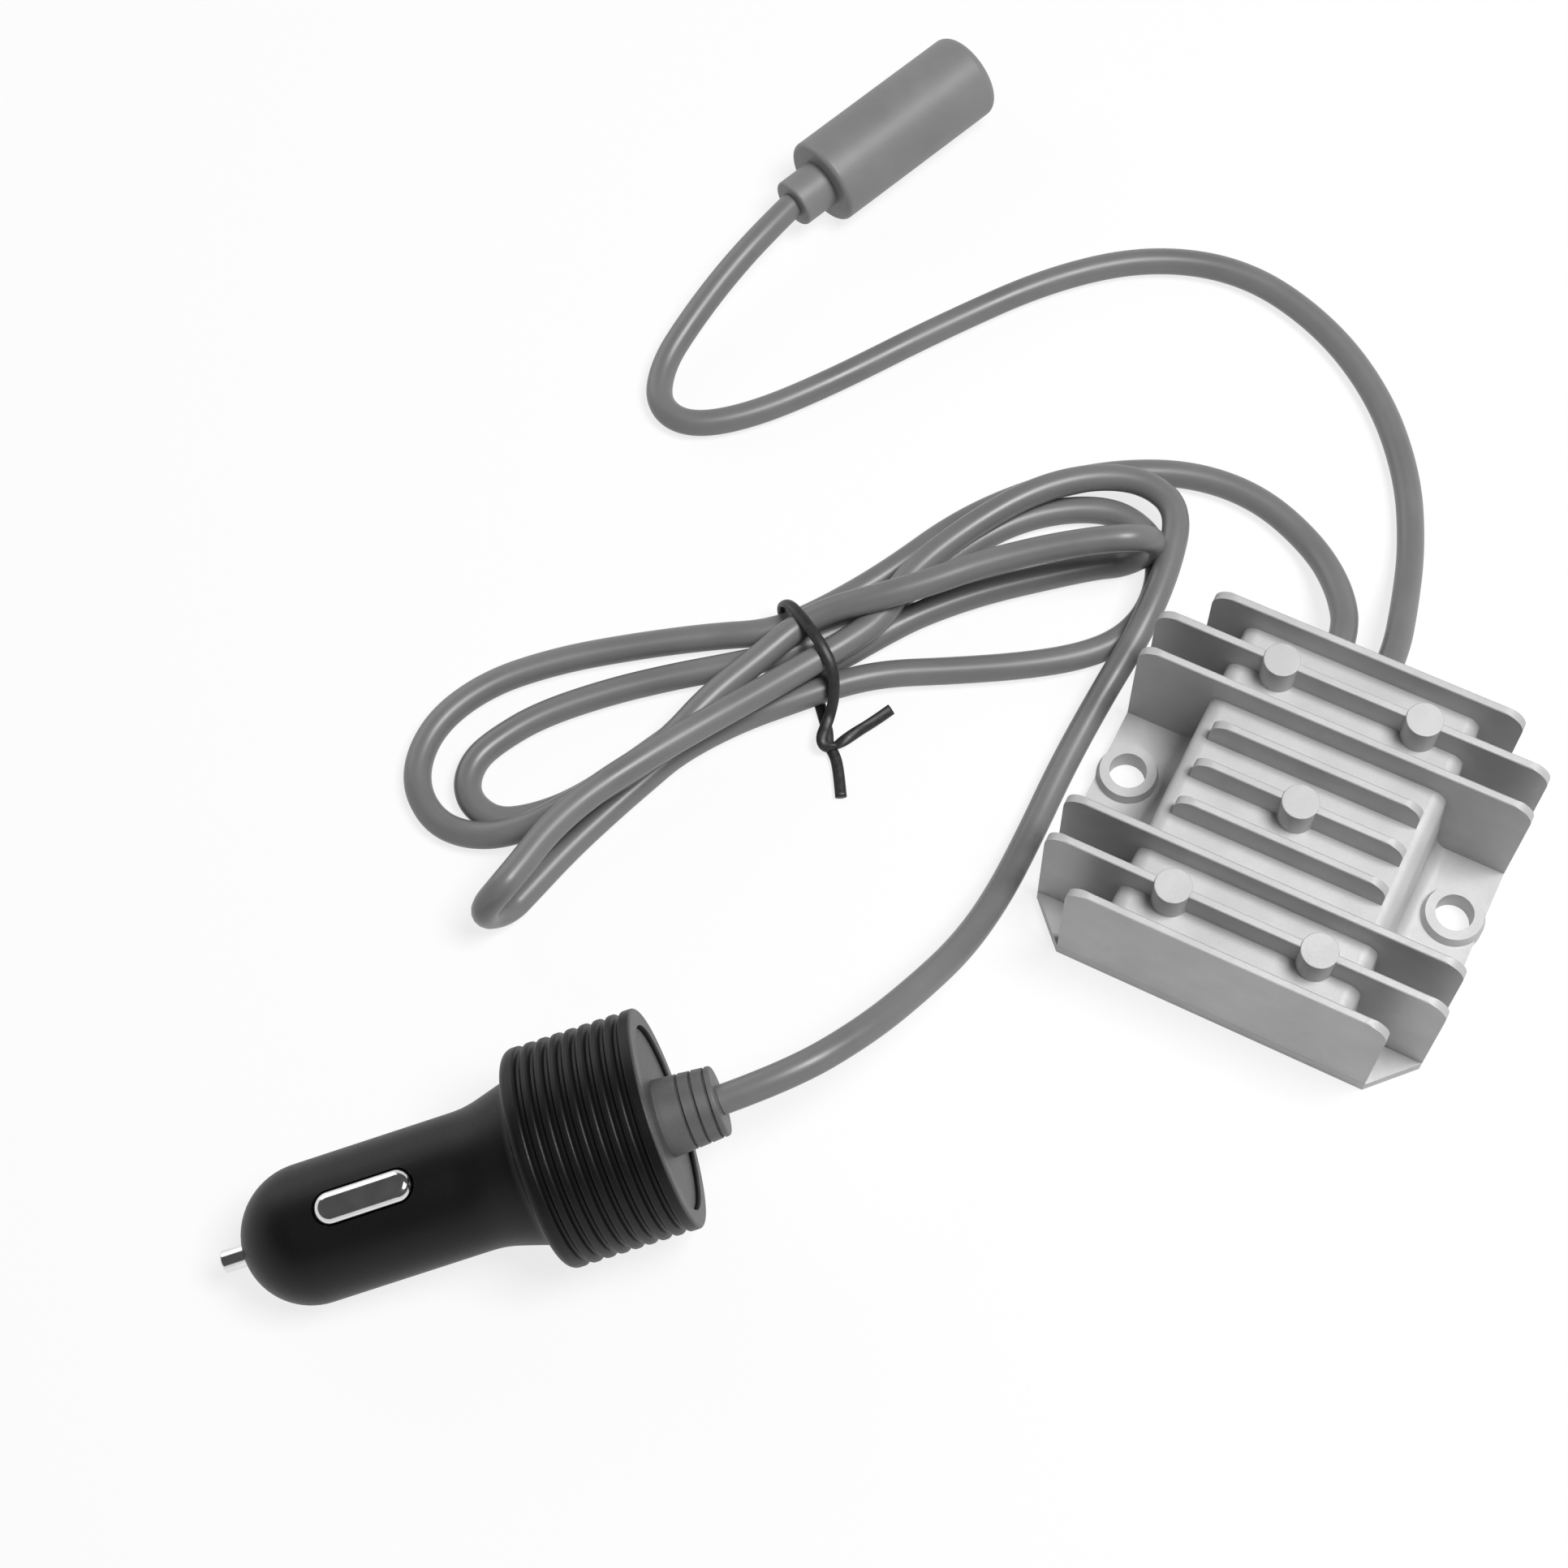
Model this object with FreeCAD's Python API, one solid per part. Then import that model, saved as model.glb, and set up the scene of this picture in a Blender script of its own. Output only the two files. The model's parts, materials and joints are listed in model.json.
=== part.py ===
"""Step-up converter on two leads, in millimetres.

A finned die-cast housing holds a potted circuit board. The input lead, tied in a hank, ends in a
lighter plug with a sprung tip and two sprung side contacts. The output lead ends in a round
moulded socket. X runs along the fins, Y points to the side where the leads come out, Z is up, and
the origin is under the middle of the housing, on the surface that everything lies on.
"""
import math
import os

import FreeCAD
import Part
from FreeCAD import Placement, Rotation, Vector

# Housing casting
case_width = 64.0
end_fin_width = 51.0
case_height = 25.0
base_thickness = 2.6
fin_pitch = 6.9
fin_top_thickness = 1.3
fin_foot_thickness = 1.9
fin_corner_radius = 3.5
fin_edge_radius = 0.25
block_top_width = 38.6
block_foot_width = 41.2
block_drop = 5.4
block_edge_radius = 2.4
block_foot_spread = 3.6
rib_length = 34.0
rib_corner_radius = 3.0
round_boss_diameter = 5.7
round_boss_spacing = 23.2
round_boss_rise = 0.3
boss_edge_radius = 0.15
hole_spacing = 55.0
hole_offset = 2.7
hole_diameter = 6.0
ring_foot_diameter = 10.0
ring_top_diameter = 9.1
ring_height = 1.8
cavity_wall = 2.2
cavity_end_wall = 2.2
cavity_corner_radius = 1.5

# Leads and their grommets in the back wall
cord_diameter = 4.5
cord_clearance = 0.1
exit_height = 9.0
exit_middle = -1.0
exit_spacing = 8.0
grommet_neck_diameter = 6.2
grommet_flange_diameter = 7.6
grommet_flange_length = 1.4
grommet_tail_diameter = 5.7
grommet_tail_length = 1.8
seat_clearance = 0.05

# Board and the parts on it
board_width = 32.0
board_depth = 46.0
board_thickness = 1.6
board_height = 3.4
potting_recess = 0.4
core_outer_diameter = 15.0
core_inner_diameter = 8.4
core_thickness = 5.6
winding_thickness = 0.8
winding_turns = 14
winding_wire_width = 1.5
capacitor_diameter = 8.0
capacitor_head_room = 2.1
transistor_width = 10.0
transistor_depth = 8.6
transistor_thickness = 3.0
diode_width = 7.0
diode_depth = 6.0
diode_thickness = 2.3
chip_width = 4.0
chip_depth = 5.0
chip_thickness = 1.6

# Lighter plug, measured along its axis from the end cap's rim towards the nose
plug_place_x = -63.2
plug_place_y = -83.8
plug_heading = 42.0
plug_roll = 2.5
plug_floor_gap = 0.15
plug_body_diameter = 21.0
plug_nose_reach = 66.0
collar_diameter = 33.4
collar_length = 20.3
collar_shoulder_radius = 1.5
flare_rise_share = 0.38
flare_foot_share = 0.35
flare_length = 8.0
flare_end_radius = 16.0
collar_rim_length = 1.8
collar_rim_edge = 0.5
grip_rib_count = 8
grip_rib_height = 0.65
grip_rib_crest = 0.9
grip_rib_round = 0.45
end_cap_diameter = 28.0
end_cap_thickness = 2.0
end_cap_recess = 0.7
end_cap_edge_radius = 0.3
collar_wall = 3.2
collar_front_wall = 3.0
collar_cavity_radius = 1.0
strain_base_diameter = 11.7
strain_end_diameter = 10.5
strain_length = 8.0
strain_edge_radius = 0.4
strain_groove_count = 3
strain_groove_pitch = 2.0
strain_groove_width = 0.45
strain_groove_depth = 0.5
strain_flange_diameter = 14.0
strain_flange_thickness = 1.6
core_wire_diameter = 1.6
core_wire_offset = 2.6

# Tip contact, fuse and spring inside the plug
tip_diameter = 3.4
tip_protrusion = 3.7
tip_end_radius = 0.4
tip_flange_diameter = 6.6
tip_flange_thickness = 1.5
fuse_diameter = 6.3
fuse_length = 30.0
fuse_cap_length = 6.0
fuse_cap_step = 0.2
fuse_edge_radius = 0.3
fuse_clearance = 0.35
tip_spring_diameter = 5.8
tip_spring_wire = 0.7
tip_spring_turns = 5
fuse_terminal_thickness = 1.0
nose_wall = 7.0

# Side contacts and their springs
contact_length = 15.2
contact_width = 5.0
contact_middle = 44.1
contact_protrusion = 0.9
contact_clearance = 0.2
contact_flange_margin = 1.0
contact_flange_thickness = 1.2
contact_flange_top = 8.3
contact_crown = 1.6
pocket_floor = 5.1
side_spring_width = 3.6
side_spring_thickness = 0.3
side_spring_length = 13.0
side_spring_tail = 2.5

# Output socket
socket_place_x = -123.5
socket_place_y = 74.7
socket_heading = 68.0
socket_diameter = 15.5
socket_length = 35.1
socket_mouth_radius = 1.6
socket_shoulder_radius = 0.9
socket_neck_diameter = 8.6
socket_neck_length = 6.5
socket_neck_edge_radius = 0.5
insulator_diameter = 10.4
insulator_length = 12.0
insulator_floor = 2.0
sleeve_outer_diameter = 6.8
sleeve_inner_diameter = 5.6
sleeve_length = 9.0
centre_pin_diameter = 2.0
centre_pin_recess = 0.8
centre_pin_end_radius = 0.5

# Hank of the input lead and its tie
hank_middle_x = -82.0
hank_middle_y = -1.0
hank_heading = 50.8
hank_height = 12.0
hank_edge_radius = 3.0
hank_saddle_depth = 1.0
hank_saddle_radius = 60.0
tie_width = 1.7
tie_thickness = 1.3
tie_wire_diameter = 1.5
tie_knot_diameter = 2.6

# The tie's knot and its loose ends, from the band to the knot and on: along the hank, across it and up
tie_knot = (-4.2, -14, 1.7)
tie_ends = [
    [(0, -9.4, 4.6), (-2.4, -11.4, 3), tie_knot, (1.5, -14.3, 1.4), (8.2, -13.3, 2.2)],
    [(-0.2, -9.4, 1.2), (-2.4, -11.8, 1), tie_knot, (-3.6, -18, 0.9), (-5.4, -23.5, 0.9)],
]

# Hank outline: along the hank, across it, and the corner radius
hank_outline = [
    (-72, 22, 9), (-30, 20, 14), (-9, 10.3, 9), (9, 10.3, 9), (45, 19.5, 14), (72, 14, 7),
    (69, -9, 9), (53, -23, 9), (28, -20, 12), (9, -10.3, 9), (-9, -10.3, 9), (-46, -25, 12),
    (-75, -27, 8),
]

# Routes of the leads: the input lead's two free stretches and the output lead
input_route = [
    (-5, 25.5, 9), (-5, 37, 9), (-8.5, 47.5, 5.2), (-16.5, 55, 2.25), (-28.5, 59.2, 2.25),
    (-41, 59.3, 2.25), (-53.3, 53.2, 2.25), (-62.3, 42, 2.25),
]
plug_route = [
    (-43, 49.5, 6.3), (-36.5, 38, 6.3), (-35.2, 25, 4), (-36.4, 13, 2.4), (-36.2, 0, 2.25),
    (-35.8, -13, 2.3), (-35.5, -26, 5.2), (-36.2, -38, 10), (-38.6, -49.5, 15.5), (-42, -60.5, 20),
]
output_route = [
    (3, 25.5, 9), (3, 37, 9), (1, 48, 5.5), (-2, 61, 2.25), (-7, 74, 2.25), (-17, 87, 2.25),
    (-31, 96, 2.25), (-48, 101, 2.25), (-64, 96, 2.25), (-78, 84, 2.25), (-91, 66, 2.25),
    (-103, 48, 2.25), (-112.5, 36, 2.25), (-121, 29.3, 2.25), (-128.5, 31, 2.25), (-131.2, 39, 2.6),
    (-130.2, 48, 4.4), (-128.6, 57.2, 6.4),
]
plug_approach = 11.0
socket_approach = 9.0
arc_share = 0.45

# Worked out from the sizes above
end_fin_y = 4 * fin_pitch
case_depth = 2 * end_fin_y + fin_foot_thickness
block_top = case_height - block_drop
cord_radius = cord_diameter / 2
board_top = board_height + board_thickness
plug_body_radius = plug_body_diameter / 2
collar_radius = collar_diameter / 2
grip_rib_pitch = (collar_length - collar_rim_length - collar_shoulder_radius) / grip_rib_count
nose_centre = plug_nose_reach - plug_body_radius
chamber_radius = fuse_diameter / 2 + fuse_clearance
chamber_front = plug_nose_reach - nose_wall
tip_back = chamber_front - tip_flange_thickness
fuse_back = tip_back - fuse_length
collar_cavity_front = collar_length - collar_front_wall
cap_back = end_cap_recess + end_cap_thickness
socket_radius = socket_diameter / 2
insulator_mouth = socket_neck_length + socket_length


def rounded_wire(corners, place):
    """Closed wire through corners given as (u, v, radius), each rounded by a tangent arc.

    place turns the flat (u, v) of a corner into a point in space.
    """
    edges = []
    stops = []
    count = len(corners)
    for index in range(count):
        u0, v0, _ = corners[index - 1]
        u1, v1, radius = corners[index]
        u2, v2, _ = corners[(index + 1) % count]
        back = Vector(u0 - u1, v0 - v1, 0).normalize()
        ahead = Vector(u2 - u1, v2 - v1, 0).normalize()
        corner = Vector(u1, v1, 0)
        half = back.getAngle(ahead) / 2
        if radius == 0:
            stops.append((corner, None, corner))
            continue
        reach = radius / math.tan(half)
        middle = corner + (back + ahead).normalize() * (radius / math.sin(half) - radius)
        stops.append((corner + back * reach, middle, corner + ahead * reach))
    for index in range(count):
        start, middle, end = stops[index]
        following = stops[(index + 1) % count][0]
        if middle is not None:
            edges.append(Part.Arc(place(start), place(middle), place(end)).toShape())
        edges.append(Part.LineSegment(place(end), place(following)).toShape())
    return Part.Wire(edges)


def prism(corners, place, direction):
    """Solid swept in a straight line from a rounded flat outline."""
    return Part.Face(rounded_wire(corners, place)).extrude(direction)


def turned(profile):
    """Solid of revolution about Z from (radius, height) corners that may carry a rounding."""
    corners = [corner if len(corner) == 3 else (*corner, 0) for corner in profile]
    face = Part.Face(rounded_wire(corners, lambda p: Vector(p.x, 0, p.y)))
    return face.revolve(Vector(0, 0, 0), Vector(0, 0, 1), 360)


def block(x_size, y_size, z_low, z_high, x=0.0, y=0.0):
    """Box centred on (x, y), between two heights."""
    corner = Vector(x - x_size / 2, y - y_size / 2, z_low)
    return Part.makeBox(x_size, y_size, z_high - z_low, corner)


def rod(radius, length, start, direction):
    """Plain cylinder."""
    return Part.makeCylinder(radius, length, start, direction)


def fin(y, width, foot_height, corner_radius):
    """Tapered fin across the housing: its section in YZ, trimmed to a round-cornered outline."""
    foot = fin_foot_thickness / 2
    top = fin_top_thickness / 2
    section = [
        (y - foot, foot_height, 0), (y + foot, foot_height, 0),
        (y + top, case_height, fin_edge_radius), (y - top, case_height, fin_edge_radius),
    ]
    slab = prism(section, lambda p: Vector(-width / 2, p.x, p.y), Vector(width, 0, 0))
    outline = [
        (-width / 2, foot_height, 0), (width / 2, foot_height, 0),
        (width / 2, case_height, corner_radius), (-width / 2, case_height, corner_radius),
    ]
    shape = prism(
        outline, lambda p: Vector(p.x, y - fin_foot_thickness, p.y), Vector(0, 2 * fin_foot_thickness, 0)
    )
    return slab.common(shape)


def cavity():
    """Space inside the housing, open at the bottom, up to the block's inner top."""
    foot = block_foot_width / 2 - cavity_wall
    top = block_top_width / 2 - cavity_wall
    half_depth = case_depth / 2 - cavity_end_wall
    section = [
        (-foot, 0, 0), (foot, 0, 0),
        (top, block_top - cavity_wall, cavity_corner_radius),
        (-top, block_top - cavity_wall, cavity_corner_radius),
    ]
    return prism(section, lambda p: Vector(p.x, -half_depth, p.y), Vector(0, 2 * half_depth, 0))


def exit_point(side):
    """Middle of a lead's hole in the back wall's outer face: side is -1 for input, 1 for output."""
    return Vector(exit_middle + side * exit_spacing / 2, case_depth / 2, exit_height)


def heatsink_housing():
    """One casting: flange, fins, centre block with ribs, bosses and ringed holes."""
    half_x = case_width / 2
    half_y = case_depth / 2
    straight_y = half_y - fin_pitch
    cut_x = end_fin_width / 2
    flange = prism(
        [
            (half_x, -straight_y, 0), (half_x, straight_y, 0), (cut_x, half_y, 0), (-cut_x, half_y, 0),
            (-half_x, straight_y, 0), (-half_x, -straight_y, 0), (-cut_x, -half_y, 0), (cut_x, -half_y, 0),
        ],
        lambda p: p, Vector(0, 0, base_thickness),
    )
    foot = block_foot_width / 2
    top = block_top_width / 2
    spread = foot + block_foot_spread
    section = [
        (-spread, 0, 0), (spread, 0, 0), (spread, base_thickness, 0),
        (foot, base_thickness, block_edge_radius), (top, block_top, block_edge_radius),
        (-top, block_top, block_edge_radius), (-foot, base_thickness, block_edge_radius),
        (-spread, base_thickness, 0),
    ]
    body = prism(section, lambda p: Vector(p.x, -end_fin_y, p.y), Vector(0, 2 * end_fin_y, 0))
    pieces = [body]
    for slot in (-4, -3, -2, 2, 3, 4):
        width = end_fin_width if abs(slot) == 4 else case_width
        pieces.append(fin(slot * fin_pitch, width, 0, fin_corner_radius))
    for slot in (-1, 0, 1):
        pieces.append(fin(slot * fin_pitch, rib_length, block_top - cavity_wall / 2, rib_corner_radius))
    boss_top = case_height + round_boss_rise
    boss_foot = block_top - cavity_wall / 2
    boss_half = round_boss_diameter / 2
    boss = turned([
        (0, boss_foot), (boss_half, boss_foot), (boss_half, boss_top, boss_edge_radius), (0, boss_top),
    ])
    spots = [(0, 0)]
    for slot in (-3, 3):
        for side in (-1, 1):
            spots.append((side * round_boss_spacing / 2, slot * fin_pitch))
    for x, y in spots:
        pieces.append(boss.translated(Vector(x, y, 0)))
    ring = turned([
        (0, 0), (ring_foot_diameter / 2, 0), (ring_foot_diameter / 2, base_thickness),
        (ring_top_diameter / 2, base_thickness + ring_height), (0, base_thickness + ring_height),
    ])
    for side in (-1, 1):
        pieces.append(ring.translated(Vector(side * hole_spacing / 2, hole_offset, 0)))
    casting = flange.multiFuse(pieces).removeSplitter()
    cuts = [cavity()]
    for side in (-1, 1):
        spot = Vector(side * hole_spacing / 2, hole_offset, 0)
        cuts.append(rod(hole_diameter / 2, base_thickness + ring_height, spot, Vector(0, 0, 1)))
        hole_radius = grommet_neck_diameter / 2 + seat_clearance
        cuts.append(rod(hole_radius, 2 * cavity_end_wall, exit_point(side), Vector(0, -1, 0)))
    for cut in cuts:
        casting = casting.cut(cut)
    return casting


def grommet(side):
    """Bush in the back wall: neck through the wall, flange outside and a tapered tail."""
    neck = grommet_neck_diameter / 2
    flange = grommet_flange_diameter / 2
    tail = grommet_tail_diameter / 2
    bore = cord_radius + cord_clearance
    bush = turned([
        (bore, -cavity_end_wall), (neck, -cavity_end_wall), (neck, 0), (flange, 0),
        (flange, grommet_flange_length), (tail, grommet_flange_length + grommet_tail_length),
        (bore, grommet_flange_length + grommet_tail_length),
    ])
    bush.Placement = Placement(exit_point(side), Rotation(Vector(0, 0, 1), Vector(0, 1, 0)))
    return bush


def ring_core():
    """Ferrite ring of the inductor, lying on its winding."""
    low = board_top + winding_thickness
    return turned([
        (core_inner_diameter / 2, low), (core_outer_diameter / 2, low),
        (core_outer_diameter / 2, low + core_thickness), (core_inner_diameter / 2, low + core_thickness),
    ]).translated(inductor_spot())


def inductor_spot():
    """Middle of the inductor on the board."""
    return Vector(-board_width / 4, 0, 0)


def inductor_winding():
    """Square turns of flat wire round the ring, joined where they crowd on its inner side."""
    low = board_top
    high = board_top + core_thickness + 2 * winding_thickness
    inner = core_inner_diameter / 2
    outer = core_outer_diameter / 2
    middle = (inner + outer) / 2
    turn = block(outer - inner + 2 * winding_thickness, winding_wire_width, low, high, middle)
    bottom = low + winding_thickness
    turn = turn.cut(block(outer - inner, winding_wire_width, bottom, bottom + core_thickness, middle))
    liner = turned([
        (inner - winding_thickness, low), (inner, low), (inner, high), (inner - winding_thickness, high),
    ])
    turns = []
    for index in range(winding_turns):
        turns.append(turn.rotated(Vector(0, 0, 0), Vector(0, 0, 1), 360 * index / winding_turns))
    coil = liner.multiFuse(turns)
    core = ring_core().translated(inductor_spot() * -1)
    return coil.cut(core).removeSplitter().translated(inductor_spot())


def board_parts():
    """Circuit board and the parts that stand on it."""
    right = board_width / 4
    row = board_depth / 4
    cap_high = block_top - cavity_wall - capacitor_head_room
    cap_radius = capacitor_diameter / 2
    can = turned([(0, board_top), (cap_radius, board_top), (cap_radius, cap_high), (0, cap_high)])
    return {
        "circuit_board": block(board_width, board_depth, board_height, board_top),
        "ring_core": ring_core(),
        "inductor_winding": inductor_winding(),
        "input_capacitor": can.translated(Vector(-right, row + cap_radius, 0)),
        "output_capacitor": can.translated(Vector(right, row + cap_radius, 0)),
        "switching_transistor": block(
            transistor_width, transistor_depth, board_top, board_top + transistor_thickness, right, -row),
        "rectifier_diode": block(
            diode_width, diode_depth, board_top, board_top + diode_thickness, -right, -row - diode_depth / 2),
        "control_chip": block(chip_width, chip_depth, board_top, board_top + chip_thickness, right, 0),
    }


def inductor_space():
    """Round space in the resin that the wound ring stands in."""
    corner = math.hypot(core_outer_diameter / 2 + winding_thickness, winding_wire_width / 2)
    height = core_thickness + 2 * winding_thickness
    return rod(corner + seat_clearance, height, inductor_spot() + Vector(0, 0, board_top), Vector(0, 0, 1))


def potting_compound(inside):
    """Resin that fills the housing from below, round everything inside."""
    resin = cavity()
    open_side = block(case_width, case_depth, -potting_recess, potting_recess)
    for shape in [open_side, inductor_space()] + inside:
        resin = resin.cut(shape)
    return resin


def tube(route):
    """Round cord along straight runs joined by arcs as large as the runs allow."""
    points = [Vector(*point) for point in route]
    edges = []
    radii = []
    start = points[0]
    for before, corner, after in zip(points, points[1:], points[2:]):
        back = before - corner
        ahead = after - corner
        reach = arc_share * min(back.Length, ahead.Length)
        half = back.getAngle(ahead) / 2
        radius = reach * math.tan(half)
        radii.append(radius)
        back.normalize()
        ahead.normalize()
        middle = corner + (back + ahead).normalize() * (radius / math.sin(half) - radius)
        edges.append(Part.LineSegment(start, corner + back * reach).toShape())
        edges.append(Part.Arc(corner + back * reach, middle, corner + ahead * reach).toShape())
        start = corner + ahead * reach
    edges.append(Part.LineSegment(start, points[-1]).toShape())
    path = Part.Wire(edges)
    section = Part.Wire(Part.Circle(points[0], points[1] - points[0], cord_radius).toShape())
    cord = path.makePipe(Part.Face(section))
    print("cord radii", [round(radius, 1) for radius in radii], "length", round(path.Length, 1),
          "volume ratio", round(cord.Volume / (math.pi * cord_radius ** 2 * path.Length), 4))
    return cord


def hank_place():
    """Frame of the hank: its own X runs along it, Y across it."""
    return Placement(Vector(hank_middle_x, hank_middle_y, 0), Rotation(Vector(0, 0, 1), hank_heading))


def tie_half_width():
    """Half of the hank's width at the tie."""
    return min(across for _, across, _ in hank_outline if across > 0)


def lead_hank(tie):
    """Outer shape of the tied hank, drawn in where the tie holds it, with the tie's band let into it."""
    solid = prism(hank_outline, lambda p: p, Vector(0, 0, hank_height))
    rims = [edge for edge in solid.Edges if edge.BoundBox.ZLength < hank_edge_radius]
    solid = solid.makeFillet(hank_edge_radius, rims)
    reach = 2 * tie_half_width()
    middle = Vector(0, -reach, hank_height - hank_saddle_depth + hank_saddle_radius)
    solid = solid.cut(rod(hank_saddle_radius, 2 * reach, middle, Vector(0, 1, 0)))
    solid.Placement = hank_place()
    return solid.cut(tie)


def bent_wire(points):
    """Round wire along straight stretches, with a ball at each bend and end."""
    radius = tie_wire_diameter / 2
    places = [Vector(*point) for point in points]
    pieces = [Part.makeSphere(radius, place) for place in places]
    for start, end in zip(places, places[1:]):
        pieces.append(rod(radius, (end - start).Length, start, end - start))
    return pieces


def twist_tie():
    """Band round the hank's waist, knotted at one side, with two loose ends."""
    outer = tie_half_width()
    inner = outer - tie_thickness
    high = hank_height - hank_saddle_depth
    round_outer = hank_edge_radius
    round_inner = hank_edge_radius - tie_thickness
    across = Vector(tie_width, 0, 0)
    low = tie_thickness
    top = high - tie_thickness

    def place(p):
        return Vector(-tie_width / 2, p.x, p.y)

    ring = prism([(-outer, 0, round_outer), (outer, 0, round_outer),
                  (outer, high, round_outer), (-outer, high, round_outer)], place, across)
    ring = ring.cut(prism([(-inner, low, round_inner), (inner, low, round_inner),
                           (inner, top, round_inner), (-inner, top, round_inner)], place, across))
    pieces = [Part.makeSphere(tie_knot_diameter / 2, Vector(*tie_knot))]
    for points in tie_ends:
        pieces += bent_wire(points)
    tie = ring.multiFuse(pieces).removeSplitter()
    tie.Placement = hank_place()
    return tie


def plug_rests():
    """The two roundings that the plug lies on, as (along the axis, off the axis, rounding)."""
    shoulder = (collar_length - collar_shoulder_radius, collar_radius - collar_shoulder_radius,
                collar_shoulder_radius)
    contact_end = (contact_middle + contact_length / 2 - contact_crown,
                   plug_body_radius + contact_protrusion - contact_crown, contact_crown)
    return shoulder, contact_end


def plug_tilt():
    """Tilt at which the collar's shoulder and the lower contact both come down to the surface, in radians."""
    shoulder, contact_end = plug_rests()
    along = contact_end[0] - shoulder[0]
    across = shoulder[1] - contact_end[1]
    drop = shoulder[2] - contact_end[2]
    return math.atan2(across, along) + math.asin(drop / math.hypot(along, across))


def plug_place():
    """Frame of the plug: its own Z runs from the cap's rim to the nose, Y is the upper side."""
    tilt = plug_tilt()
    heading = math.radians(plug_heading)
    fall = math.sin(tilt)
    level = math.cos(tilt)
    nose = Vector(-level * math.cos(heading), -level * math.sin(heading), -fall)
    upper = Vector(-fall * math.cos(heading), -fall * math.sin(heading), level)
    along, across, rounding = plug_rests()[0]
    height = along * fall + across * level + rounding + plug_floor_gap
    turn = Rotation(upper.cross(nose), upper, nose, "ZYX") * Rotation(Vector(0, 0, 1), -plug_roll)
    return Placement(Vector(plug_place_x, plug_place_y, height), turn)


def pill(length, width, low, high):
    """Bar with round ends along Z, between two heights in Y, about the contacts' middle."""
    half = width / 2
    straight = length / 2 - half
    bar = block(width, high - low, contact_middle - straight, contact_middle + straight, 0, (low + high) / 2)
    ends = [rod(half, high - low, Vector(0, low, contact_middle + side * straight), Vector(0, 1, 0))
            for side in (-1, 1)]
    return bar.multiFuse(ends).removeSplitter()


def both_sides(shape):
    """A shape on the plug's upper side and its copy on the lower side."""
    return shape, shape.rotated(Vector(0, 0, 0), Vector(0, 0, 1), 180)


def plug_shell():
    """Turned shell with round nose, flared shoulder and grip ribs, hollow for the contacts."""
    valley = collar_radius - grip_rib_height
    outer = [(end_cap_diameter / 2 + seat_clearance, 0), (collar_radius, 0, collar_rim_edge),
             (collar_radius, collar_rim_length, grip_rib_round)]
    side = (grip_rib_pitch - grip_rib_crest) / 3
    for index in range(grip_rib_count):
        foot = collar_rim_length + index * grip_rib_pitch
        outer.append((valley, foot + side))
        outer.append((valley, foot + 2 * side))
        outer.append((collar_radius, foot + 3 * side, grip_rib_round))
        if index < grip_rib_count - 1:
            outer.append((collar_radius, foot + grip_rib_pitch, grip_rib_round))
    outer.append((collar_radius, collar_length, collar_shoulder_radius))
    step = collar_radius - plug_body_radius
    outer.append((plug_body_radius + flare_rise_share * step, collar_length, flare_foot_share * step))
    outer.append((plug_body_radius, collar_length + flare_length, flare_end_radius))
    tip_hole = tip_diameter / 2 + contact_clearance
    cavity_side = collar_radius - collar_wall
    inner = [
        (tip_hole, chamber_front), (chamber_radius, chamber_front),
        (chamber_radius, collar_cavity_front), (cavity_side, collar_cavity_front, collar_cavity_radius),
        (cavity_side, cap_back), (end_cap_diameter / 2 + seat_clearance, cap_back),
    ]
    nose_meets_hole = nose_centre + math.sqrt(plug_body_radius ** 2 - tip_hole ** 2)
    barrel = turned(outer + [(plug_body_radius, nose_centre), (tip_hole, nose_centre)] + inner)
    halfway = plug_body_radius * math.sqrt(0.5)
    dome_arc = Part.Arc(
        Vector(plug_body_radius, 0, nose_centre), Vector(halfway, 0, nose_centre + halfway),
        Vector(tip_hole, 0, nose_meets_hole),
    ).toShape()
    corners = [Vector(tip_hole, 0, nose_meets_hole), Vector(tip_hole, 0, chamber_front),
               Vector(chamber_radius, 0, chamber_front), Vector(chamber_radius, 0, nose_centre),
               Vector(plug_body_radius, 0, nose_centre)]
    sides = [Part.LineSegment(a, b).toShape() for a, b in zip(corners, corners[1:])]
    dome = Part.Face(Part.Wire([dome_arc] + sides)).revolve(Vector(0, 0, 0), Vector(0, 0, 1), 360)
    shell = barrel.fuse(dome).removeSplitter()
    margin = contact_flange_margin + contact_clearance
    pocket = block(
        contact_width + 2 * margin, contact_flange_top - pocket_floor,
        contact_middle - contact_length / 2 - margin, contact_middle + contact_length / 2 + margin,
        0, (contact_flange_top + pocket_floor) / 2,
    )
    slot = pill(contact_length + 2 * contact_clearance, contact_width + 2 * contact_clearance,
                contact_flange_top - contact_clearance, plug_body_radius + contact_protrusion)
    channel_high = pocket_floor + side_spring_thickness + 2 * contact_clearance
    channel = block(
        side_spring_width + 2 * contact_clearance, channel_high - pocket_floor,
        collar_cavity_front - collar_front_wall, contact_middle, 0, (channel_high + pocket_floor) / 2,
    )
    for cut in (pocket, slot, channel):
        for copy in both_sides(cut):
            shell = shell.cut(copy)
    return shell


def plug_end_cap():
    """Disc set into the collar's end, with a hole for the strain relief."""
    edge = end_cap_diameter / 2
    bore = strain_base_diameter / 2 + seat_clearance
    return turned([
        (bore, end_cap_recess), (edge, end_cap_recess, end_cap_edge_radius),
        (edge, cap_back), (bore, cap_back),
    ])


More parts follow.
